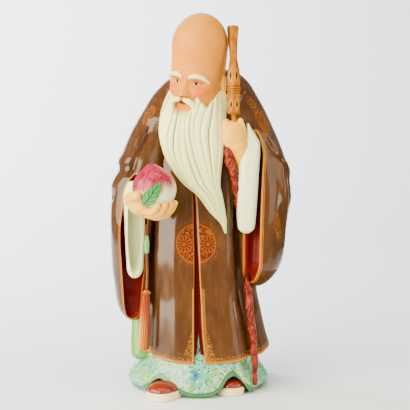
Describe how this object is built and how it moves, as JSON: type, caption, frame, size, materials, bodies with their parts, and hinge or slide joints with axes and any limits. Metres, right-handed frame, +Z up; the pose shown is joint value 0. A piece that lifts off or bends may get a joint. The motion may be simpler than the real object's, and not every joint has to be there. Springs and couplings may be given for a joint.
{
  "type": "standing porcelain figurine",
  "caption": "Standing long-bearded elder with a tall bald head, in a wide-sleeved coat, cupping a peach and gripping a staff whose carved head stands loose in the fist.",
  "frame": {"origin": "middle of the figure's box, on the flat underside that it stands on", "axes": "+Z up, -Y the way the figure faces, +X the figure's left side, with the staff"},
  "size_m": [0.217, 0.188, 0.45],
  "materials": {
    "brown_glaze": "glossy overglaze enamels and gilding on porcelain",
    "ochre_glaze": "ochre enamel with gilt and dark marks"
  },
  "bodies": {
    "root": {"shoulao_figure": "brown_glaze", "staff_head": "ochre_glaze"}
  },
  "joints": []
}
